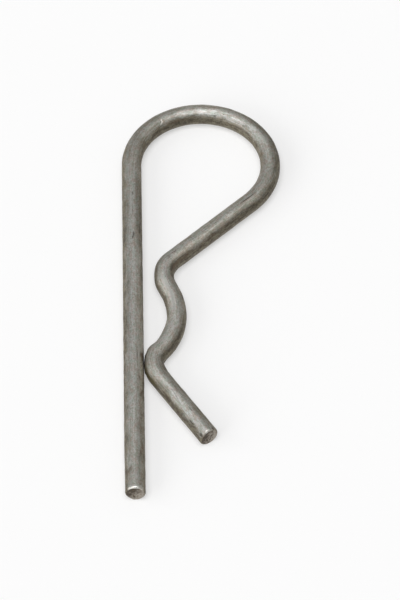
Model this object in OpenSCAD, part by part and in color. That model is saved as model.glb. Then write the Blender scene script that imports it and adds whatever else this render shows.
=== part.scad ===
// Hitch R clip: one length of round spring wire. A straight leg goes through a cross hole
// in a shaft, a finger loop turns the wire back, and a waved arm snaps round the shaft.
// It lies flat: the leg runs along Y with the loop at +Y, and Z = 0 is what it rests on.

/* [Wire] */
// Diameter of the round wire
wire_d = 4; // [3:0.1:4.8]
// Rounding on the rim of both cut ends
rim_r = 0.3; // [0.1:0.05:0.8]
// How much thicker the wire is in a bend than in a straight, on its radius
bend_swell = 0.01; // [0.01:0.01:0.04]

/* [Leg and loop] */
// Straight leg, from its cut end to where the loop starts
leg_len = 83; // [72:1:110]
// Inside radius of the finger loop
loop_in_r = 12.2; // [10:0.1:16]
// Angle between the leg and the straight arm that comes back from the loop
arm_angle = 46.7; // [38:0.1:58]

/* [Seat] */
// Radius from the leg's axis to the inside of the seat bend, half the smallest shaft
seat_r = 6.6; // [5.4:0.1:9]
// How far the seat bend stands back from the crest above it
seat_depth = 2.4; // [1.9:0.1:3.5]
// Radius of the seat bend on its shaft side
seat_bend_r = 16.3; // [13.5:0.1:20]
// Angle between the leg and the flank that leads into the seat
flank_angle = 22.4; // [18:0.1:26]
// Inside radius of the crest between the arm and the seat
upper_crest_in_r = 4; // [3:0.1:5]

/* [Mouth] */
// Straight part between the seat bend and the crest that closes on the leg
throat_len = 0.4; // [0.2:0.1:2]
// Inside radius of the crest that closes on the leg
lower_crest_in_r = 3.5; // [2.2:0.1:5]
// Clearance between that crest and the leg, so small that they look closed
contact_gap = 0.05; // [0.02:0.01:0.3]
// Angle between the leg and the straight lead-in tail
tail_angle = 32.5; // [25:0.1:45]
// Straight part of the tail, up to its cut end
tail_len = 17.5; // [12:0.5:24]

/* [Hidden] */
$fn = 96;

wire_r = wire_d / 2;
wire_colour = [0.52, 0.51, 0.48];

// How far each straight is let into the bends beside it
let_in = 0.2;

// Radii of the bends, along the middle of the wire
loop_r = loop_in_r + wire_r;
upper_crest_r = upper_crest_in_r + wire_r;
seat_mid_r = seat_bend_r - wire_r;
lower_crest_r = lower_crest_in_r + wire_r;

// How far the middle of the wire stands from the leg's axis at each turning point
seat_off = seat_r + wire_r;
upper_crest_off = seat_off - seat_depth;
lower_crest_off = wire_d + bend_swell + contact_gap;

// Angle of the throat that takes the wire from the seat to the lower crest
both_r = seat_mid_r + lower_crest_r;
throat_angle = acos((both_r - seat_off + lower_crest_off) / norm([both_r, throat_len]))
             - atan(throat_len / both_r);

// Straight lengths that bring the upper crest and the seat to their offsets
arm_len = (loop_r * (1 + cos(arm_angle)) - upper_crest_r * (1 - cos(arm_angle)) - upper_crest_off)
        / sin(arm_angle);
flank_len = (seat_depth - (upper_crest_r + seat_mid_r) * (1 - cos(flank_angle))) / sin(flank_angle);

// The wire in order from the leg's cut end: [straight length] or [radius, turn to the left]
ROUTE = [
    [leg_len],
    [loop_r, -(180 + arm_angle)],
    [arm_len],
    [upper_crest_r, arm_angle + flank_angle],
    [flank_len],
    [seat_mid_r, -(flank_angle + throat_angle)],
    [throat_len],
    [lower_crest_r, throat_angle + tail_angle],
    [tail_len]
];
LAST = len(ROUTE) - 1;

// Where a piece of the route ends, as [x, y, heading], when it starts at the place p
function after_straight(p, l) = [p[0] + l * cos(p[2]), p[1] + l * sin(p[2]), p[2]];
function after_bend(p, r, turn) =
    let (s = sign(turn) * r, h = p[2] + turn)
    [p[0] + s * (sin(h) - sin(p[2])), p[1] - s * (cos(h) - cos(p[2])), h];
function after(p, piece) =
    len(piece) == 1 ? after_straight(p, piece[0]) : after_bend(p, piece[0], piece[1]);
function place(i) = i == 0 ? [0, 0, 90] : after(place(i - 1), ROUTE[i - 1]);

// The middle of the outline, which goes to the origin
mid_x = loop_r;
mid_y = (leg_len + loop_r + wire_r + bend_swell) / 2;

// Straight wire along +X between two bends
module straight(l) {
    translate([-let_in, 0, 0]) rotate([0, 90, 0]) cylinder(r = wire_r, h = l + 2 * let_in);
}

// Straight wire along +X from a bend to a cut end with a rounded rim
module free_end(l) {
    translate([-let_in, 0, 0]) rotate([0, 90, 0]) rotate_extrude() {
        square([wire_r, l + let_in - rim_r]);
        square([wire_r - rim_r, l + let_in]);
        translate([wire_r - rim_r, l + let_in - rim_r]) circle(r = rim_r);
    }
}

// Bent wire that starts at the origin along +X
module bend(r, turn) {
    side = sign(turn);
    translate([0, side * r, 0])
        rotate([0, 0, side > 0 ? -90 : 90 + turn])
            rotate_extrude(angle = abs(turn)) translate([r, 0]) circle(r = wire_r + bend_swell);
}

// One piece of the route, drawn where it belongs
module piece(i) {
    p = place(i == 0 ? 1 : i);
    translate([p[0], p[1], 0]) rotate([0, 0, i == 0 ? p[2] + 180 : p[2]])
        if (i == 0 || i == LAST) free_end(ROUTE[i][0]);
        else if (len(ROUTE[i]) == 1) straight(ROUTE[i][0]);
        else bend(ROUTE[i][0], ROUTE[i][1]);
}

module clip_wire() {
    color(wire_colour) translate([-mid_x, -mid_y, wire_r + bend_swell])
        for (i = [0 : LAST]) piece(i);
}

clip_wire();
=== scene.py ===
"""The looks of the hitch R clip: one swept wire mesh with its real surface, in a steel finish.

The wire is followed as part.scad bends it, so every size here is the CAD's. What is added is what the round
CAD wire doesn't have: dents, drawing lines, cut ends, and marks that are painted on by where they are on it,
among them painted highlights, painted shade on the sides and a painted shadow in the notch.
"""
import math

import bpy
import numpy as np
from mathutils import Matrix, Vector


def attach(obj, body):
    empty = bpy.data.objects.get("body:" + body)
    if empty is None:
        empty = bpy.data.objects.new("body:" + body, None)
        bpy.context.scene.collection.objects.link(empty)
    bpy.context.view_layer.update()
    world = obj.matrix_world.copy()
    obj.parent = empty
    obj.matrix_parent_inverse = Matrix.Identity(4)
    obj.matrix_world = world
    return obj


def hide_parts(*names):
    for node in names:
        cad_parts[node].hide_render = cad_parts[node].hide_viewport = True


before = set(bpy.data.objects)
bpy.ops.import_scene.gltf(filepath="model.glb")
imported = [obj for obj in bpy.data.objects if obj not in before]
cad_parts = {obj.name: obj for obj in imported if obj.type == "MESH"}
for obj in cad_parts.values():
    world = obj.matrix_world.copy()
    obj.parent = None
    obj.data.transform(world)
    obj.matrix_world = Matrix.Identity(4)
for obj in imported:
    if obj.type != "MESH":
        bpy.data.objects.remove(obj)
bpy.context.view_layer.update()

MM = 0.001
SEED = 20

# ---- The wire, as the CAD has it, in mm and degrees ----
WIRE_D = 4.0
BEND_SWELL = 0.01
LEG_LEN = 83.0
LOOP_IN_R = 12.2
ARM_ANGLE = 46.7
SEAT_R = 6.6
SEAT_DEPTH = 2.4
SEAT_BEND_R = 16.3
FLANK_ANGLE = 22.4
UPPER_CREST_IN_R = 4.0
THROAT_LEN = 0.4
LOWER_CREST_IN_R = 3.5
CONTACT_GAP = 0.05
TAIL_ANGLE = 32.5
TAIL_LEN = 17.5

WIRE_R = WIRE_D / 2
LOOP_R = LOOP_IN_R + WIRE_R
UPPER_CREST_R = UPPER_CREST_IN_R + WIRE_R
SEAT_MID_R = SEAT_BEND_R - WIRE_R
LOWER_CREST_R = LOWER_CREST_IN_R + WIRE_R
SEAT_OFF = SEAT_R + WIRE_R
UPPER_CREST_OFF = SEAT_OFF - SEAT_DEPTH
LOWER_CREST_OFF = WIRE_D + BEND_SWELL + CONTACT_GAP

# ---- Where the lower crest rests on the leg, in mm ----
CONTACT_AT = 189.76       # arc length where the lower crest comes nearest to the leg
CONTACT_LEG_AT = 30.8     # and the same place on the leg
TOUCH_GAP = 0.003         # what the worn flat leaves of CONTACT_GAP
FLAT_HALF_WIDTH = 0.34
CREST_FLAT = (-0.25, 1.85, 0.30)    # its middle past CONTACT_AT, its half length, and how soon it fades
LEG_FLAT = (0.0, 2.4, 0.45)

# ---- The mesh, in mm and degrees ----
SIDES = 128
SIDE_PULL = 0.35          # draws the sides together round SIDE_FOCUS, where the marks are
SIDE_FOCUS = 35.0
COARSE_STEP = 0.33        # between rings
BEND_STEP = 0.25          # and in the tight bends, from BENDS_FROM to BENDS_TO
BENDS_FROM = 161.0
BENDS_TO = 193.5
FINE_STEP = 0.10          # and at each dent that is shorter than SMALL_DENT
SMALL_DENT = 0.5
FACE_RINGS = 14           # from the middle of a cut face to its rim
RIM_RINGS = 7             # round the rim
END_CLEAR = 0.9           # plain rings keep this far from the cut ends

# ---- The surface of the wire, in mm ----
DRAW_LINES = 70           # how many, and the least and most of their half length, width and depth
DRAW_LINE_HALF = (4, 25)
DRAW_LINE_WIDTH = (0.07, 0.15)
DRAW_LINE_DEPTH = (0.002, 0.009)
DRAW_LINE_TWIST = 0.004   # in radians per mm
WAVES = 60                # how many, how many of them fit round the wire, and how long they are along it
WAVES_ROUND = (2, 14)
WAVE_LENGTH = (1.2, 7.0)
WAVE_STEEPNESS = 0.0045
ANY_PHASE = (0, 6.3)

# ---- The cut ends, in mm and degrees ----
RIM_WIDTH = (0.24, 0.12)  # the least, and what the top adds, where the shear came down
RIM_DEPTH = (0.20, 0.25)
TEARS = 24                # the waves that make the torn face
TEAR_LENGTH = (0.5, 1.8)
TEAR_HEIGHT = 0.008
TEAR_FADE = 0.5           # they fade over this much towards the rim
FLAT_START = 1.45         # how far from the middle the flat on the rim begins
FACE_LIGHT = (0.48, 0.70) # how burnished the face is at its middle, and how much more at the burnished side
SHINE_HALF_WIDTH = 32.0
# The side that the shear burnished, the side with a small flat on the rim and its slope, and the part of the
# rim painted
# bright and its strength: partly a burnished rim, partly a painted highlight. The sides are angles round the
# wire from the top.
LEG_END = {"light": 130, "flat": -130, "slope": 0.50, "shine": 4, "glint": 1.4}
TAIL_END = {"light": -100, "flat": 70, "slope": 0.15, "shine": 13, "glint": 0.3}

# ---- Marks, each at its place on the wire ----
# Arc length, angle from the top (to the right of the heading is positive), half length, half width, strength,
# and how far the mark drifts sideways per mm along. All in mm but the angle and the strength.

# What stands out of the round wire, or into it where the height is negative. Here the strength is the height
# in mm.
DENTS = {
    "nick": (96.28, 21, 0.13, 0.26, -0.035, 0.0),
    "nick_2": (95.95, 33, 0.28, 0.10, -0.035, -0.6),
    "pit_1": (108.8, 47, 0.28, 0.10, -0.035, 0.0),
    "pit_2": (110.7, 25, 0.16, 0.09, -0.030, 0.0),
    "pit_3": (111.6, 19, 0.20, 0.08, -0.030, 0.0),
    "draw_line": (77.0, 15, 11.0, 0.09, -0.012, 0.0),
    "rub_edge": (32.2, 20, 1.2, 0.08, -0.014, 0.0),
    "leg_taper": (1.0, -90, 4.5, 0.9, -0.09, 0.0),
    "arm_flat": (158.7, 90, 1.0, 0.9, 0.05, 0.0),
    "crest_high": (162.8, 90, 1.1, 0.9, 0.13, 0.0),
    "crest_side": (165.8, 90, 0.8, 0.9, -0.09, 0.0),
    "crest_flat": (170.3, 90, 1.2, 0.9, -0.08, 0.0),
    "seat_flat": (177.1, 90, 1.0, 0.9, -0.08, 0.0),
    "seat_swell": (182.0, 90, 1.3, 0.9, 0.09, 0.0),
    "throat_flat": (185.4, 90, 0.9, 0.9, -0.06, 0.0),
    "shoulder": (186.7, 90, 0.78, 0.9, 0.37, 0.0),
    "seat_back": (174.8, -90, 3.6, 0.9, -0.08, 0.0),
    "throat_back": (186.2, -90, 1.6, 0.9, -0.07, 0.0),
    "pinch": (188.9, -90, 0.75, 1.1, -0.22, 0.0),
    "pinch_swell": (191.8, -90, 0.9, 1.1, 0.12, 0.0),
}
# Painted light and shade: broad areas painted lighter where more light falls on the wire, or darker, as
# painted shade, where the strength is negative.
SHADES = {
    "leg_start": (12.0, -6, 11.0, 0.6, 0.6, 0.0),
    "leg_edge": (5.0, 60, 5.0, 0.5, -0.4, 0.0),
    "leg_middle": (42.0, 32, 14.0, 1.0, 0.7, 0.0),
    "leg_inside": (32.0, 60, 15.0, 0.5, 1.1, 0.0),
    "leg_top": (61.0, 16, 13.0, 0.6, 0.7, 0.0),
    "leg_top_2": (69.0, 31, 5.0, 0.3, -0.9, 0.0),
    "leg_top_3": (83.5, 22, 2.2, 0.4, 0.8, 0.0),
    "leg_left_2": (66.5, -44, 4.0, 0.45, -1.0, 0.0),
    "leg_left": (42.0, -38, 6.0, 0.6, -0.5, 0.0),
    "leg_dim": (67.0, 60, 7.0, 0.5, -1.7, 0.0),
    "leg_end": (88.0, 14, 3.0, 0.5, -0.8, 0.0),
    "loop_start": (92.0, -45, 3.5, 0.6, -0.6, 0.0),
    "loop_dim": (102.0, 82, 7.0, 0.5, -1.8, 0.0),
    "loop_dim_2": (98.5, 70, 2.5, 0.4, -0.9, 0.0),
    "loop_dim_3": (111.0, 52, 4.0, 0.4, -0.5, 0.0),
    "loop_top": (107.5, -2, 4.0, 0.4, 1.0, 0.0),
    "loop_top_2": (98.5, 15, 2.5, 0.3, -0.5, 0.0),
    "loop_turn": (121.0, 10, 7.0, 0.4, 1.1, 0.0),
    "loop_outside": (120.0, -40, 8.0, 0.7, -1.4, 0.0),
    "loop_inside": (124.0, 88, 6.0, 0.6, 0.5, 0.0),
    "arm_dim": (146.0, -70, 8.0, 0.45, -1.1, 0.0),
    "arm_dim_2": (138.0, -60, 6.0, 0.4, -0.6, 0.0),
    "arm_top": (158.0, -24, 6.0, 0.4, 0.5, 0.0),
    "arm_side": (152.0, 16, 14.0, 0.4, 0.8, 0.0),
    "crest_dim": (164.0, -70, 3.0, 0.6, -1.1, 0.0),
    "crest_far": (164.2, -42, 1.8, 0.3, -0.7, 0.0),
    "crest_side": (168.5, 38, 1.8, 0.30, -0.6, 0.0),
    "crest_top": (168.3, 14, 2.0, 0.35, 1.1, 0.0),
    "crest_inside": (168.5, 60, 2.0, 0.35, 0.9, 0.0),
    "seat_side": (174.0, 14, 7.0, 0.8, 1.2, 0.0),
    "seat_top": (172.8, 14, 2.5, 0.4, 0.6, 0.0),
    "seat_inside": (178.5, 46, 2.0, 0.4, 1.1, 0.0),
    "seat_low": (183.5, 20, 2.0, 0.5, 0.8, 0.0),
    "seat_far": (182.0, -56, 6.0, 0.5, -1.3, 0.0),
    "throat": (186.5, 50, 4.0, 0.9, 0.7, 0.0),
    "throat_far": (188.5, -60, 2.0, 0.45, -1.0, 0.0),
    "crest_near": (189.2, 55, 1.8, 0.32, 1.2, 0.0),
    "crest_low": (194.5, 38, 3.5, 0.35, -0.8, 0.0),
    "crest_low_2": (195.0, 66, 4.0, 0.35, 0.8, 0.0),
    "tail_top": (202.0, 10, 9.0, 0.45, 1.0, 0.0),
    "tail_inside": (201.0, 50, 9.0, 0.35, -0.4, 0.0),
    "tail_right": (203.0, -48, 8.0, 0.5, -0.9, 0.0),
    "tail_tip": (208.5, 38, 2.2, 0.4, -0.5, 0.0),
}
# Places painted bright: painted highlights on the arm, the crest, the seat and the tail's end, a painted
# glint on the nick, a painted reflection on the leg beside the notch, and other bright places along the wire.
RUBS_AND_HIGHLIGHTS = {
    "nick": (96.38, 22, 0.10, 0.20, 1.0, 0.0),
    "nick_2": (95.95, 36, 0.26, 0.08, 1.4, -0.6),
    "leg_reflection": (30.6, 30, 1.8, 0.14, 0.9, 0.0),
    "leg_reflection_2": (35.0, 34, 1.8, 0.22, 0.6, 0.0),
    "leg_line": (72.0, -6, 8.0, 0.09, 0.7, 0.0),
    "leg_spot": (61.2, -2, 0.6, 0.12, 0.7, 0.0),
    "leg_spot_2": (82.0, 0, 0.9, 0.16, 0.6, 0.0),
    "loop_start": (92.0, 36, 4.0, 0.16, 0.6, 0.0),
    "loop_side": (120.0, 50, 3.0, 0.40, 0.40, 0.0),
    "arm_highlight": (149.0, -20, 12.0, 0.14, 0.6, 0.0),
    "crest_highlight": (169.3, 14, 2.2, 0.36, 1.0, -0.1),
    "seat_highlight": (174.0, 14, 4.0, 0.26, 0.7, 0.0),
    "tail_end_highlight": (209.5, 14, 0.6, 0.42, 0.6, 0.0),
}
# Dark stains, and painted shadow: the strong ones paint the black shadow of the notch where the lower crest
# meets the leg.
DIRT_AND_SHADOW_MARKS = {
    "rub_edge": (32.2, 20, 0.9, 0.08, 1.0, 0.0),
    # Painted shadow: the contact marks paint the black shadow of the notch where the lower crest meets the
    # leg.
    "contact_leg": (31.85, 77, 0.48, 0.28, 5.0, 0.0),
    "contact_leg_2": (30.4, 84, 0.70, 0.28, 2.0, 0.0),
    "contact_crest": (188.6, 85, 0.75, 0.26, 4.2, 0.0),
    "contact_crest_2": (190.3, 89, 0.6, 0.18, 1.5, 0.0),
    "leg_speck": (36.8, -22, 0.5, 0.22, 0.5, 0.0),
    "leg_dark": (62.4, 4, 1.1, 0.20, 0.6, 0.18),
    "leg_dark_2": (70.5, 4, 3.5, 0.09, 0.5, 0.0),
    "leg_dark_3": (74.0, 5, 0.4, 0.14, 0.6, 0.0),
    "leg_dark_4": (86.6, -2, 1.4, 0.22, 0.45, 0.0),
    "pit_1": (108.8, 47, 0.26, 0.12, 0.9, 0.0),
    "pit_2": (110.7, 25, 0.15, 0.10, 0.7, 0.0),
    "pit_3": (111.6, 19, 0.18, 0.09, 0.7, 0.0),
    "loop_smear": (121.5, -6, 2.4, 0.22, 0.35, 0.1),
    "loop_smear_2": (127.0, -14, 2.6, 0.28, 0.35, 0.0),
    "arm_line": (139.8, -2, 1.8, 0.11, 0.9, 0.0),
    "arm_line_2": (153.0, -2, 9.0, 0.10, 0.5, 0.0),
    "arm_spot": (155.4, 10, 0.25, 0.25, 0.6, 0.0),
    "arm_streak": (160.4, 7, 0.65, 0.11, 0.6, 0.0),
    "arm_streak_2": (162.9, 5, 0.5, 0.10, 0.5, 0.0),
    "crest_inside": (165.3, 48, 0.7, 0.24, 0.3, 0.0),
    "crest_line": (172.5, -3, 6.0, 0.09, 0.55, 0.0),
    "throat_line": (185.7, 10, 0.14, 1.5, 0.5, 0.0),
    "throat_line_2": (186.7, 10, 0.16, 1.5, 0.5, 0.0),
    "tail_1": (199.2, 16, 1.3, 0.15, 0.5, 0.12),
    "tail_2": (201.6, 27, 1.0, 0.14, 0.5, 0.1),
    "tail_3": (203.8, 4, 0.8, 0.20, 0.6, 0.0),
    "tail_4": (206.0, 47, 0.8, 0.12, 0.8, 0.0),
    "tail_5": (204.5, 24, 0.9, 0.12, 0.6, 0.0),
    "tail_6": (210.1, -31, 0.40, 0.26, 0.9, 0.0),
    "tail_7": (209.8, 53, 0.36, 0.28, 1.2, 0.0),
    "tail_8": (208.6, -27, 0.25, 0.18, 0.6, 0.0),
}
# Places where the film has rusted brown, or olive where the strength is negative.
RUSTS = {
    "leg_spot": (32.4, 62, 0.60, 0.55, 1.1, 0.0),
    "leg_patch": (4.4, -32, 0.7, 0.30, 0.7, 0.5),
    "leg_patch_2": (23.5, 52, 1.4, 0.40, 0.5, 0.3),
    "leg_patch_3": (9.5, 46, 1.4, 0.40, 0.6, 0.3),
    "leg_patch_4": (17.5, 55, 1.5, 0.35, 0.4, 0.3),
    "leg_patch_5": (26.8, 30, 0.50, 0.24, 0.55, 0.0),
    "loop_patch": (99.0, 62, 2.2, 0.35, 0.5, 0.0),
    "loop_patch_2": (113.0, 68, 1.6, 0.35, 0.4, 0.0),
    "loop_patch_3": (125.0, 55, 1.2, 0.25, 0.5, 0.0),
    "arm_patch": (147.0, -52, 3.0, 0.35, 0.4, 0.0),
    "arm_patch_2": (156.5, -56, 5.0, 0.40, 0.50, 0.0),
    "arm_patch_3": (163.0, -58, 2.0, 0.40, 0.42, 0.0),
    "crest_inside": (165.2, 48, 0.8, 0.30, 0.55, 0.0),
    "seat_inside": (171.0, 62, 3.0, 0.30, 0.45, 0.0),
    # Painted shade and reflection of the leg, in olive, on the lower crest beside it.
    "crest_leg_shade": (192.9, 74, 1.5, 0.36, -1.4, 0.0),
    "tail_patch": (197.0, 58, 1.0, 0.25, 0.3, 0.0),
    "tail_patch_2": (205.0, 58, 1.0, 0.25, 0.3, 0.0),
}
# Broad areas that are warmer, or cooler where the strength is negative.
TINTS = {
    "leg_inside": (25.0, 42, 35.0, 0.50, 1.0, 0.0),
    "leg_top": (48.0, -18, 25.0, 0.70, -0.5, 0.0),
    "loop_start": (90.0, 40, 6.0, 0.70, 0.9, 0.0),
    "loop_inside": (109.0, 38, 8.0, 0.70, -1.1, 0.0),
    "loop_outside": (108.0, -18, 9.0, 0.40, 0.9, 0.0),
    "arm_outside": (155.0, -31, 24.0, 0.33, 0.9, 0.0),
    "arm_inside": (148.0, 28, 7.0, 0.35, 1.0, 0.0),
    "seat_inside": (175.0, 58, 5.0, 0.30, 1.0, 0.0),
    "tail_outside": (203.0, -26, 7.0, 0.50, 0.75, 0.0),
    "tail_inside": (206.0, 35, 6.0, 0.80, -0.8, 0.0),
}

# ---- Colours ----
CLEAN_STEEL = (0.625, 0.62, 0.592, 1)
DULL_STEEL = (0.350, 0.328, 0.274, 1)
WARM_STEEL = (0.47, 0.385, 0.335, 1)
COOL_STEEL = (0.40, 0.445, 0.375, 1)
# The rubbed colour, also used for painted highlights.
RUBBED_AND_HIGHLIT_STEEL = (0.72, 0.71, 0.67, 1)
RUST = (0.165, 0.118, 0.082, 1)
OLIVE = (0.190, 0.160, 0.075, 1)
# The brown film on the sides, which also stands in for the painted shade of their dark reflections.
DARK_FILM_AND_SHADE = (0.095, 0.072, 0.052, 1)
PALE_FILM_AND_SHADE = (0.205, 0.185, 0.122, 1)
# Stains, and the painted shadow round the notch where the lower crest meets the leg.
DIRT_AND_SHADOW_COLOUR = (0.060, 0.050, 0.037, 1)
# Painted shadow: the near black in the notch where the lower crest meets the leg.
SHADOW_BLACK = (0.004, 0.003, 0.002, 1)
CUT_DARK = (0.090, 0.075, 0.058, 1)
CUT_LIGHT = (0.34, 0.31, 0.265, 1)
FLOOR_GREY = (0.95, 0.95, 0.95, 1)
WHITE = (1, 1, 1, 1)

# ---- How the finish is mixed ----
# Each noise: how tight it is across and along the wire per mm, its shift, its detail and its roughness.
NOISES = {
    "streaks": (3.0, 0.2, 0.0, 4.0, 0.60),
    "mottle": (1.1, 0.6, 7.0, 5.0, 0.70),
    "speckle": (3.6, 2.4, 3.0, 4.0, 0.70),
    "patch": (0.6, 0.3, 31.0, 3.0, 0.60),
    "warmth": (1.6, 1.0, 19.0, 4.0, 0.70),
    "torn": (1.5, 1.5, 43.0, 4.0, 0.65),
    "lines": (7.0, 0.15, 11.0, 3.0, 0.60),
    "grain": (7.0, 5.0, 5.0, 3.0, 0.65),
}
# Each ramp: where it starts and ends, and what it gives there if that isn't 0 and 1.
RAMPS = {
    "clean": (0.435, 0.565),
    "warm": (0.50, 0.60, 0.0, 0.55),
    "cool": (0.50, 0.40, 0.0, 0.55),
    "film_and_shade": (-0.02, 0.62),
    "pale": (0.44, 0.56),
    "brown": (0.15, 0.90),
    "olive": (0.25, 0.90),
    "bright": (0.30, 0.75),
    "dark": (0.30, 0.75),
    "burnished": (0.20, 0.80),
    "rusty": (0.50, 0.60, 0.0, 0.50),
    "black": (0.90, 2.20),
    "rough": (0.35, 0.65, 0.60, 0.44),
    "metal": (0.0, 1.0, 1.0, 0.8),
}
# How much of the steel each layer hides where it is whole.
COVERS = {"film_and_shade": 0.90, "brown": 0.75, "olive": 0.75, "bright": 0.60, "dark": 0.75}
# How much rougher each makes the steel.
ROUGHER = {"film_and_shade": 0.06, "bright": -0.08, "dark": 0.12, "black": 0.30}
TONE_SHARES = {"streaks": 0.28, "mottle": 0.36, "speckle": 0.36}
FILM_AND_SHADE_SHARES = {"tone": 0.62, "warmth": 0.38}
BUMP_SHARES = {"lines": 0.35, "grain": 0.65}
BUMP_STRENGTH = 0.6
BUMP_DEPTH = 0.04 * MM
SHADE_TONE = 0.02       # how a shade of 1 changes the tone, thins the film and lightens the colour
SHADE_THINS = 0.12
SHADE_LIGHTENS = 0.17
TINT_RED = 0.03           # how much red a tint of 1 adds, and how much blue it takes away
TINT_BLUE = 0.055
TORN_CONTRAST = 2.4
# Painted light: the film, and its painted shade, is thinner on the inside of the clip, so that side is
# painted lighter.
INSIDE_LIGHTER = 0.07        # the film is thinner on the inside of the clip, to the right of the heading

# ---- The floor, the lights and the camera, in m and degrees ----
FLOOR_HALF = 6.0
FLOOR_WHITE = 0.4         # how much of the floor that is seen is plain white, not lit by the lamps
# Azimuth (0 is the camera's side, 90 is +X), elevation, width and strength.
SUNS = {"key": (-16, 75, 47, 1.75), "left": (-90, 25, 40, 0.57), "front": (-45, 18, 36, 0.95)}
SKY = 0.3
SENSOR = 36.0
LENS = 202.74
CAMERA_AZIMUTH = -1.336
CAMERA_ELEVATION = 50.442
CAMERA_ROLL = 0.158
CAMERA_DISTANCE = 669.11 * MM
CAMERA_AIM = (-0.946 * MM, -2.349 * MM)


def cosd(a):
    return math.cos(math.radians(a))


def sind(a):
    return math.sin(math.radians(a))


def signed(angle):
    """The same angle between minus and plus half a turn."""
    return (angle + math.pi) % (2 * math.pi) - math.pi


# ---- The wire's route ----
def route():
    """The wire in order from the leg's cut end: (straight length,) or (radius, degrees to the left)."""
    both_r = SEAT_MID_R + LOWER_CREST_R
    reach = math.hypot(both_r, THROAT_LEN)
    throat = math.degrees(math.acos((both_r - SEAT_OFF + LOWER_CREST_OFF) / reach)
                          - math.atan(THROAT_LEN / both_r))
    arm = LOOP_R * (1 + cosd(ARM_ANGLE)) - UPPER_CREST_R * (1 - cosd(ARM_ANGLE)) - UPPER_CREST_OFF
    flank = SEAT_DEPTH - (UPPER_CREST_R + SEAT_MID_R) * (1 - cosd(FLANK_ANGLE))
    return [
        (LEG_LEN,),
        (LOOP_R, -(180 + ARM_ANGLE)),
        (arm / sind(ARM_ANGLE),),
        (UPPER_CREST_R, ARM_ANGLE + FLANK_ANGLE),
        (flank / sind(FLANK_ANGLE),),
        (SEAT_MID_R, -(FLANK_ANGLE + throat)),
        (THROAT_LEN,),
        (LOWER_CREST_R, throat + TAIL_ANGLE),
        (TAIL_LEN,),
    ]


def is_bent(piece):
    return len(piece) == 2


def length_of(piece):
    return abs(piece[0] * math.radians(piece[1])) if is_bent(piece) else piece[0]


def follow(pieces, stations):
    """Rows of arc length, x, y, heading and whether it is bent, from the origin along +Y, in mm."""
    x, y, heading, done, rows = 0.0, 0.0, math.pi / 2, 0.0, []
    for piece in pieces:
        length = length_of(piece)
        last = piece is pieces[-1]
        here = stations[(stations >= done - 1e-9) & ((stations < done + length - 1e-9) | last)]
        along = np.append(here - done, length)
        if is_bent(piece):
            side = math.copysign(piece[0], piece[1])
            h = heading + along / side
            xs = x + side * (np.sin(h) - math.sin(heading))
            ys = y - side * (np.cos(h) - math.cos(heading))
        else:
            h = np.full(len(along), heading)
            xs = x + along * math.cos(heading)
            ys = y + along * math.sin(heading)
        rows += [(here[i], xs[i], ys[i], h[i], is_bent(piece)) for i in range(len(here))]
        x, y, heading, done = xs[-1], ys[-1], h[-1], done + length
    return np.array(rows)


def ring_places(total):
    """Where the rings stand along the wire: close together at the small dents, wider elsewhere."""
    small = [(mark[0], 3 * mark[2] + 0.2) for mark in DENTS.values() if mark[2] < SMALL_DENT]
    s, found = 0.0, []
    while s < total - 0.5 * FINE_STEP:
        found.append(s)
        near = any(abs(s - middle) < reach for middle, reach in small)
        s += FINE_STEP if near else BEND_STEP if BENDS_FROM < s < BENDS_TO else COARSE_STEP
    return np.array(found + [total])


ROUTE = route()
TOTAL = sum(length_of(piece) for piece in ROUTE)
PATH = follow(ROUTE, ring_places(TOTAL))
MID = (LOOP_R, (LEG_LEN + LOOP_R + WIRE_R + BEND_SWELL) / 2, WIRE_R + BEND_SWELL)


def place(x, y, heading, out_right, out_up):
    """Points in the frame, in mm, out_right of the heading and out_up above the wire's middle."""
    px = x + out_right * np.sin(heading) - MID[0]
    py = y - out_right * np.cos(heading) - MID[1]
    return np.stack([px, py, np.broadcast_to(out_up + MID[2], px.shape)], -1)


# ---- The wire's surface ----
def spot(s, theta, mark):
    """A soft oval mark, 1 at its middle, times its strength."""
    middle, angle, half_length, half_width, strength, drift = mark
    off = signed(theta - math.radians(angle))
    across = (off * WIRE_R - drift * (s - middle)) / half_width
    along = (s - middle) / half_length
    return strength * np.exp(-0.5 * (across ** 2 + along ** 2))


def within(along, flat):
    """1 on a worn flat, falling to 0 past its ends."""
    middle, half_length, fade = flat
    return np.clip((half_length - np.abs(along - middle)) / fade, 0, 1)


def resting(s, theta):
    """Where the crest rests on the leg (1) or doesn't (0), and the height of its worn flat there, in mm."""
    along = s - CONTACT_AT
    on_crest = within(along, CREST_FLAT)
    fade = np.maximum(on_crest, within(s - CONTACT_LEG_AT, LEG_FLAT))
    around = signed(theta - math.pi / 2)
    mask = fade * fade * (3 - 2 * fade) * np.exp(-0.5 * (around * WIRE_R / FLAT_HALF_WIDTH) ** 2)
    gap = CONTACT_GAP + along ** 2 / (2 * (LOWER_CREST_R + WIRE_R))
    return mask, np.where(on_crest > 0, np.clip(gap - TOUCH_GAP, 0, None), 0.0)


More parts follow.
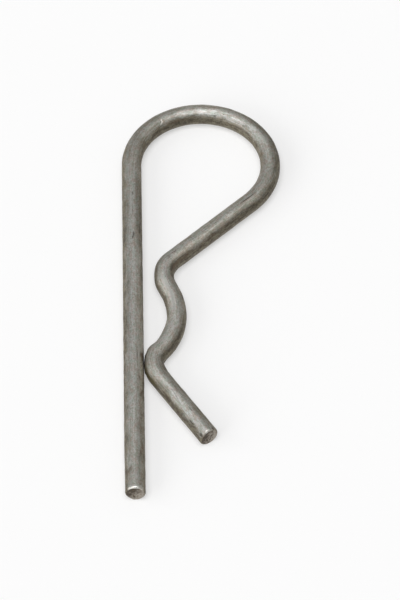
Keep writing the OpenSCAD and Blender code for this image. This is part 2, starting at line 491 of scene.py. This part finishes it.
def relief(s, theta):
    """How far the real surface stands out from a round wire at arc length s and angle theta, in mm."""
    rng = np.random.default_rng(SEED)
    out = np.zeros(np.broadcast(s, theta).shape)
    for _ in range(DRAW_LINES):
        middle, half = rng.uniform(0, TOTAL), rng.uniform(*DRAW_LINE_HALF)
        angle, width = rng.uniform(-math.pi, math.pi), rng.uniform(*DRAW_LINE_WIDTH)
        depth = rng.uniform(*DRAW_LINE_DEPTH)
        off = signed(theta - angle - DRAW_LINE_TWIST * (s - middle))
        fade = np.clip(1 - np.abs(s - middle) / half, 0, 1)
        out -= depth * np.sqrt(fade) * np.exp(-0.5 * (off * WIRE_R / width) ** 2)
    for _ in range(WAVES):
        around, along = rng.integers(*WAVES_ROUND), 2 * math.pi / rng.uniform(*WAVE_LENGTH)
        height = WAVE_STEEPNESS / max(around / WIRE_R, along)
        phase = around * theta + rng.choice((-1, 1)) * along * s + rng.uniform(*ANY_PHASE)
        out += height * np.sin(phase)
    for mark in DENTS.values():
        out += spot(s, theta, mark)
    mask, flat = resting(s, theta)
    return out * (1 - mask) + flat * mask


def rim(theta):
    """How wide and how deep a cut end's rolled rim is, in mm."""
    top = 0.5 + 0.5 * np.cos(theta)
    return RIM_WIDTH[0] + RIM_WIDTH[1] * top, RIM_DEPTH[0] + RIM_DEPTH[1] * top


def sheared(u, v, marks):
    """How far a cut face stands out, in mm, at u up and v right of its middle: tears, and the rim's flat."""
    rng = np.random.default_rng(SEED + 1)
    out = np.zeros(u.shape)
    for _ in range(TEARS):
        turn, wave = rng.uniform(0, math.pi), 2 * math.pi / rng.uniform(*TEAR_LENGTH)
        across = u * math.cos(turn) + v * math.sin(turn)
        out += TEAR_HEIGHT * np.sin(wave * across + rng.uniform(*ANY_PHASE))
    out *= np.clip((WIRE_R - np.hypot(u, v)) / TEAR_FADE, 0, 1)
    towards = u * cosd(marks["flat"]) + v * sind(marks["flat"])
    return out - marks["slope"] * np.clip(towards - FLAT_START, 0, None)


# ---- The wire's mesh ----
SIDE_TURN = np.arange(SIDES) * 2 * math.pi / SIDES
THETA = SIDE_TURN - SIDE_PULL * np.sin(SIDE_TURN - math.radians(SIDE_FOCUS))
UP, RIGHT = np.cos(THETA), np.sin(THETA)
PAINTS = {"rub_and_highlight": RUBS_AND_HIGHLIGHTS, "dirt_and_shadow": DIRT_AND_SHADOW_MARKS, "shade": SHADES, "rust": RUSTS, "tint": TINTS}
# All that the points carry for the material, and its value in the middle of a cut face.
FACE_MIDDLE = {"flank": 0.0, "cut": 1.0, "rub_and_highlight": 0.5, "dirt_and_shadow": 0.0, "shade": 0.0, "rust": 0.0, "tint": 0.0}


def ring(row, radius, shift, cut=0.0, rub_and_highlight=None):
    """One ring's points and what they carry. Radius and shift along the wire may change round it."""
    s, x, y, heading = row[:4]
    radius = np.broadcast_to(radius, THETA.shape)
    where = s + np.broadcast_to(shift, THETA.shape)
    points = place(x + shift * math.cos(heading), y + shift * math.sin(heading), heading,
                   radius * RIGHT, radius * UP)
    # flank is 1 on the sides and 0 on the top and underside; the film it lays on the sides is also painted
    # shade.
    carried = {"flank": 1 - np.abs(UP) - INSIDE_LIGHTER * RIGHT, "cut": np.full(SIDES, cut)}
    for name, marks in PAINTS.items():
        carried[name] = sum(spot(where, THETA, mark) for mark in marks.values()) * (1 - cut)
    if rub_and_highlight is not None:
        carried["rub_and_highlight"] = rub_and_highlight
    return points, np.stack([radius * UP, radius * RIGHT, where], -1), carried


def cut_end(row, sign, marks):
    """Rings from the middle of a cut face out to where its rim meets the side."""
    width, depth = rim(THETA)
    flat = WIRE_R + relief(np.full(SIDES, row[0]), THETA) - width
    made = []
    for k in range(1, FACE_RINGS + 1):
        r = flat * k / FACE_RINGS
        out = sheared(r * UP, r * RIGHT, marks)
        towards = r * (UP * cosd(marks["light"]) + RIGHT * sind(marks["light"]))
        light = np.clip(FACE_LIGHT[0] + FACE_LIGHT[1] * towards / WIRE_R, 0, 1)
        made.append(ring(row, r, sign * out, 1.0, light))
    # The rim is painted bright round its shine angle: partly a burnished rim, partly a painted highlight.
    turned = signed(THETA - math.radians(marks["shine"]))
    shine = marks["glint"] * np.exp(-0.5 * (turned / math.radians(SHINE_HALF_WIDTH)) ** 2)
    for k in range(1, RIM_RINGS + 1):
        a = math.pi / 2 * k / RIM_RINGS
        r = flat + width * math.sin(a)
        out = sheared(r * UP, r * RIGHT, marks) - depth * (1 - math.cos(a))
        made.append(ring(row, r, sign * out, 0.0, shine))
    return made


def face_middle(row, sign, marks):
    """The one point in the middle of a cut face."""
    out = sign * sheared(np.zeros(1), np.zeros(1), marks)
    return place(row[1] + out * math.cos(row[3]), row[2] + out * math.sin(row[3]), row[3], 0.0, 0.0)


def wire_faces(ring_count):
    """Quads from ring to ring, and a fan of triangles at each end, round the last two points."""
    i = np.arange(ring_count - 1)[:, None] * SIDES
    j = np.arange(SIDES)[None, :]
    k = (j + 1) % SIDES
    faces = np.stack([i + j, i + k, i + SIDES + k, i + SIDES + j], -1).reshape(-1, 4).tolist()
    start, finish = ring_count * SIDES, ring_count * SIDES + 1
    tail = (ring_count - 1) * SIDES
    faces += [(start, (n + 1) % SIDES, n) for n in range(SIDES)]
    faces += [(finish, tail + n, tail + (n + 1) % SIDES) for n in range(SIDES)]
    return faces


def build_wire():
    first, last = PATH[0], PATH[-1]
    rings = cut_end(first, -1, LEG_END)
    for row in PATH:
        if END_CLEAR < row[0] < TOTAL - END_CLEAR:
            swell = BEND_SWELL if row[4] else 0.0
            rings.append(ring(row, WIRE_R + swell + relief(np.full(SIDES, row[0]), THETA), 0.0))
    rings += reversed(cut_end(last, 1, TAIL_END))

    middles = [face_middle(first, -1, LEG_END), face_middle(last, 1, TAIL_END)]
    points = np.concatenate([made[0] for made in rings] + middles)
    wire_mm = np.concatenate([made[1] for made in rings] + [[[0, 0, 0], [0, 0, TOTAL]]])
    mesh = bpy.data.meshes.new("spring_wire")
    mesh.from_pydata((points * MM).tolist(), [], wire_faces(len(rings)))
    mesh.attributes.new("wire_mm", "FLOAT_VECTOR", "POINT").data.foreach_set("vector", wire_mm.ravel())
    for name, middle in FACE_MIDDLE.items():
        values = np.concatenate([made[2][name] for made in rings] + [[middle, middle]])
        mesh.attributes.new(name, "FLOAT", "POINT").data.foreach_set("value", values)
    mesh.polygons.foreach_set("use_smooth", [True] * len(mesh.polygons))
    mesh.update()
    mesh.validate()
    piece = bpy.data.objects.new("spring_wire", mesh)
    bpy.context.scene.collection.objects.link(piece)
    return piece


# ---- Materials ----
class Tree:
    """A node tree with one short call for each kind of node."""

    def __init__(self, owner):
        owner.use_nodes = True
        self.tree = owner.node_tree
        self.tree.nodes.clear()

    def node(self, kind, inputs=(), **settings):
        made = self.tree.nodes.new(kind)
        for name, value in settings.items():
            setattr(made, name, value)
        for name, value in dict(inputs).items():
            self.feed(made.inputs[name], value)
        return made

    def feed(self, socket, value):
        if isinstance(value, bpy.types.NodeSocket):
            self.tree.links.new(value, socket)
        else:
            socket.default_value = value

    def carried(self, name, output="Fac"):
        """What the mesh carries under this name."""
        return self.node("ShaderNodeAttribute", attribute_name=name).outputs[output]

    def math(self, operation, a, b):
        return self.node("ShaderNodeMath", {0: a, 1: b}, operation=operation).outputs[0]

    def weighted(self, shares, values):
        """The sum of the named values, each times its share."""
        parts = [self.math("MULTIPLY", values[name], share) for name, share in shares.items()]
        total = parts[0]
        for part in parts[1:]:
            total = self.math("ADD", total, part)
        return total

    def noise(self, vector, across, along, shift, detail, rough):
        mapped = self.node("ShaderNodeMapping", {"Vector": vector, "Scale": (across, across, along),
                                                 "Location": (shift, shift, shift)}).outputs[0]
        return self.node("ShaderNodeTexNoise", {"Vector": mapped, "Scale": 1.0, "Detail": detail,
                                                "Roughness": rough}).outputs["Fac"]

    def ramp(self, value, name):
        """The value through the smooth ramp of this name."""
        low, high, to_low, to_high = (*RAMPS[name], 0.0, 1.0)[:4]
        return self.node("ShaderNodeMapRange", {"Value": value, "From Min": low, "From Max": high,
                                                "To Min": to_low, "To Max": to_high},
                         interpolation_type="SMOOTHSTEP").outputs[0]

    def scale(self, colour, factor):
        return self.node("ShaderNodeVectorMath", {0: colour, "Scale": factor}, operation="SCALE").outputs[0]

    def times(self, colour, red, green, blue):
        factors = self.node("ShaderNodeCombineXYZ", {"X": red, "Y": green, "Z": blue}).outputs[0]
        return self.node("ShaderNodeVectorMath", {0: colour, 1: factors}, operation="MULTIPLY").outputs[0]

    def mix(self, factor, a, b):
        made = self.node("ShaderNodeMix", data_type="RGBA")
        self.feed(made.inputs[0], factor)
        self.feed(made.inputs[6], a)
        self.feed(made.inputs[7], b)
        return made.outputs[2]

    def cover(self, colour, name, amount, layer):
        """The colour under a layer, which hides at most COVERS[name] of it."""
        return self.mix(self.math("MULTIPLY", amount, COVERS[name]), colour, layer)


def steel():
    """Dull drawn steel: mottled and streaked, with a brown film on the sides that is also painted shade,
    painted highlights, and a painted black shadow in the notch.
    """
    material = bpy.data.materials.new("satin_spring_steel")
    t = Tree(material)
    where = t.carried("wire_mm", "Vector")
    on = {name: t.carried(name) for name in FACE_MIDDLE}
    noise = {name: t.noise(where, *settings) for name, settings in NOISES.items()}
    noise["tone"] = t.weighted(TONE_SHARES, noise)
    broken = t.math("ADD", t.math("SUBTRACT", noise["mottle"], 0.5), t.math("SUBTRACT", noise["patch"], 0.5))

    # Painted light and shade from the shade marks: a mark raises the tone, thins the film and scales the
    # colour.
    clean = t.math("ADD", noise["tone"], t.math("MULTIPLY", on["shade"], SHADE_TONE))
    grey = t.mix(t.ramp(clean, "clean"), DULL_STEEL, CLEAN_STEEL)
    grey = t.mix(t.ramp(noise["warmth"], "warm"), grey, WARM_STEEL)
    grey = t.mix(t.ramp(noise["warmth"], "cool"), grey, COOL_STEEL)

    # The brown film on the sides, where flank is high, which is also painted shade of the sides' dark
    # reflections.
    thick = t.math("ADD", on["flank"], broken)
    film_and_shade = t.ramp(t.math("SUBTRACT", thick, t.math("MULTIPLY", on["shade"], SHADE_THINS)), "film_and_shade")
    film_colour = t.mix(t.ramp(t.weighted(FILM_AND_SHADE_SHARES, noise), "pale"), DARK_FILM_AND_SHADE, PALE_FILM_AND_SHADE)
    colour = t.cover(grey, "film_and_shade", film_and_shade, film_colour)
    colour = t.scale(colour, t.math("ADD", 1.0, t.math("MULTIPLY", on["shade"], SHADE_LIGHTENS)))

    colour = t.cover(colour, "brown", t.ramp(t.math("ADD", on["rust"], broken), "brown"), RUST)
    # The olive at the lower crest beside the leg is painted shade and reflection of the leg.
    colour = t.cover(colour, "olive", t.ramp(t.math("SUBTRACT", broken, on["rust"]), "olive"), OLIVE)
    # Bright places and painted highlights, in the rubbed colour.
    bright = t.ramp(t.math("ADD", on["rub_and_highlight"], broken), "bright")
    colour = t.cover(colour, "bright", bright, RUBBED_AND_HIGHLIT_STEEL)
    # Stains, and the painted shadow round the notch, in the stain colour.
    dark = t.ramp(t.math("ADD", on["dirt_and_shadow"], broken), "dark")
    colour = t.cover(colour, "dark", dark, DIRT_AND_SHADOW_COLOUR)

    torn = t.math("MULTIPLY", t.math("SUBTRACT", noise["torn"], 0.5), TORN_CONTRAST)
    face = t.mix(t.ramp(t.math("ADD", on["rub_and_highlight"], torn), "burnished"), CUT_DARK, CUT_LIGHT)
    face = t.mix(t.ramp(noise["warmth"], "rusty"), face, RUST)
    colour = t.mix(on["cut"], colour, face)

    red = t.math("ADD", 1.0, t.math("MULTIPLY", on["tint"], TINT_RED))
    blue = t.math("SUBTRACT", 1.0, t.math("MULTIPLY", on["tint"], TINT_BLUE))
    colour = t.times(colour, red, 1.0, blue)
    # Painted shadow: the notch where the lower crest meets the leg goes near black, and is no longer metal
    # there.
    black = t.ramp(on["dirt_and_shadow"], "black")
    colour = t.mix(black, colour, SHADOW_BLACK)

    rough = t.ramp(noise["tone"], "rough")
    for name, layer in (("film_and_shade", film_and_shade), ("bright", bright), ("dark", dark), ("black", black)):
        rough = t.math("ADD", rough, t.math("MULTIPLY", layer, ROUGHER[name]))
    metal = t.ramp(t.math("MAXIMUM", film_and_shade, dark), "metal")
    metal = t.math("MULTIPLY", metal, t.math("SUBTRACT", 1.0, black))
    bump = t.node("ShaderNodeBump", {"Strength": BUMP_STRENGTH, "Distance": BUMP_DEPTH,
                                     "Height": t.weighted(BUMP_SHARES, noise)})
    shader = t.node("ShaderNodeBsdfPrincipled", {"Base Color": colour, "Metallic": metal, "Roughness": rough,
                                                 "Normal": bump.outputs[0]})
    t.node("ShaderNodeOutputMaterial", {"Surface": shader.outputs[0]})
    return material


# ---- The stage ----
def floor():
    corners = [(x * FLOOR_HALF, y * FLOOR_HALF, 0) for x, y in ((-1, -1), (1, -1), (1, 1), (-1, 1))]
    mesh = bpy.data.meshes.new("floor")
    mesh.from_pydata(corners, [], [(0, 1, 2, 3)])
    piece = bpy.data.objects.new("floor", mesh)
    bpy.context.scene.collection.objects.link(piece)
    material = bpy.data.materials.new("white_floor")
    t = Tree(material)
    lit = t.node("ShaderNodeBsdfDiffuse", {"Color": FLOOR_GREY})
    paper = t.node("ShaderNodeEmission", {"Color": WHITE, "Strength": 1.0})
    ray = t.node("ShaderNodeLightPath")
    seen = t.math("MAXIMUM", ray.outputs["Is Camera Ray"], ray.outputs["Is Glossy Ray"])
    seen = t.math("MAXIMUM", seen, ray.outputs["Is Transmission Ray"])
    shader = t.node("ShaderNodeMixShader", {0: t.math("MULTIPLY", seen, FLOOR_WHITE),
                                            1: lit.outputs[0], 2: paper.outputs[0]})
    t.node("ShaderNodeOutputMaterial", {"Surface": shader.outputs[0]})
    mesh.materials.append(material)


def from_side(azimuth, elevation):
    """The direction towards an azimuth (0 is the camera's side, 90 is +X) and elevation."""
    return Vector((sind(azimuth) * cosd(elevation), -cosd(azimuth) * cosd(elevation), sind(elevation)))


def sun(name, azimuth, elevation, across, strength):
    data = bpy.data.lights.new(name, "SUN")
    data.energy = strength
    data.angle = math.radians(across)
    lamp = bpy.data.objects.new(name, data)
    back = from_side(azimuth, elevation)
    lamp.rotation_mode = "QUATERNION"
    lamp.rotation_quaternion = back.to_track_quat("Z", "Y")
    lamp.location = back
    bpy.context.scene.collection.objects.link(lamp)


def sky():
    """Even light from all round."""
    world = bpy.data.worlds.new("studio")
    bpy.context.scene.world = world
    t = Tree(world)
    shader = t.node("ShaderNodeBackground", {"Color": WHITE, "Strength": SKY})
    t.node("ShaderNodeOutputWorld", {"Surface": shader.outputs[0]})


def camera():
    data = bpy.data.cameras.new("camera")
    data.lens = LENS
    data.sensor_width = SENSOR
    cam = bpy.data.objects.new("camera", data)
    aim = Vector((*CAMERA_AIM, MID[2] * MM))
    back = from_side(CAMERA_AZIMUTH, CAMERA_ELEVATION)
    roll = Matrix.Rotation(math.radians(CAMERA_ROLL), 3, "Z")
    turn = back.to_track_quat("Z", "Y").to_matrix() @ roll
    cam.matrix_world = Matrix.Translation(aim + back * CAMERA_DISTANCE) @ turn.to_4x4()
    bpy.context.scene.collection.objects.link(cam)
    bpy.context.scene.camera = cam


bpy.context.scene.view_settings.view_transform = "Standard"
wire = build_wire()
wire.data.materials.append(steel())
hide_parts("clip_wire")
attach(wire, "root")
floor()
for name, settings in SUNS.items():
    sun(name, *settings)
sky()
camera()
